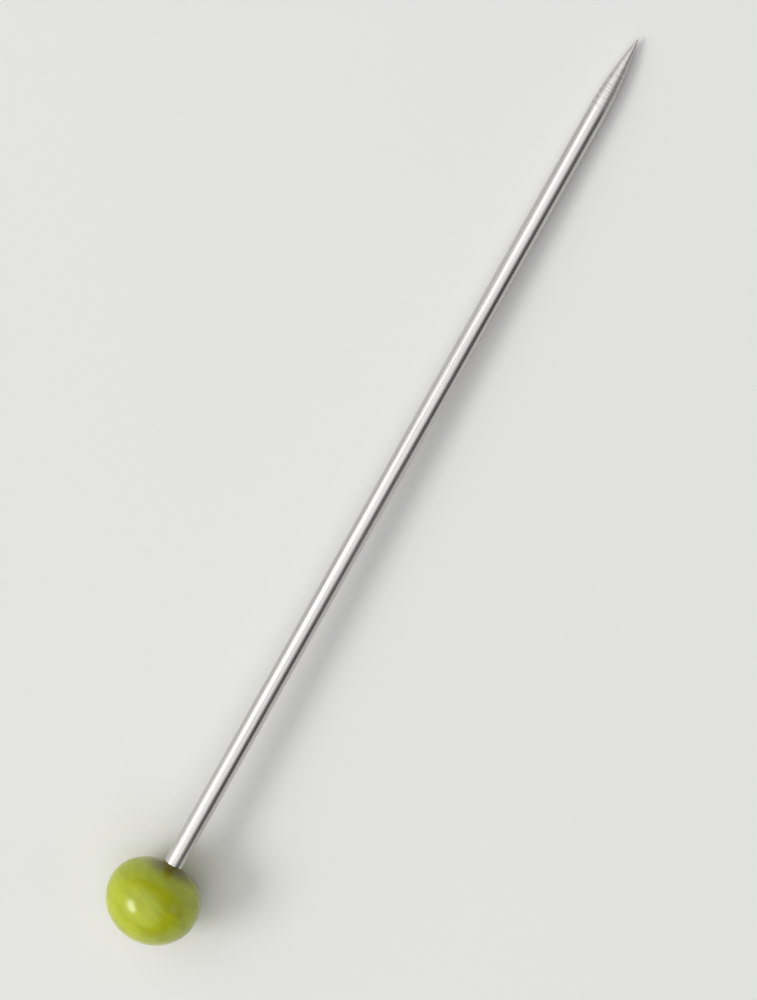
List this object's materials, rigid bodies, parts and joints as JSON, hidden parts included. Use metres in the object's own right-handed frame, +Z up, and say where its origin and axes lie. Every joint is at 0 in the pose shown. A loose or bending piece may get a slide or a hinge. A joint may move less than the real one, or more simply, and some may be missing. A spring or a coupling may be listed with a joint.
{
  "type": "straight pin",
  "caption": "Straight sewing pin: a slim steel wire with a fine tapered point at one end and a small round bead of opaque glass as its head at the other.",
  "frame": {"origin": "on the flat surface that the pin lies on, below the middle of its bounding box", "axes": "+X along the pin toward its point, +Z up from that surface, +Y to the left when looking from the head to the point"},
  "size_m": [0.032, 0.003, 0.003],
  "materials": {
    "lime_glass": "opaque lime-yellow glass bead, fire polished",
    "plated_steel": "bright nickel plating over hard drawn steel wire, ground at the point"
  },
  "bodies": {
    "root": {"glass_head": "lime_glass", "steel_shaft": "plated_steel"}
  },
  "joints": []
}
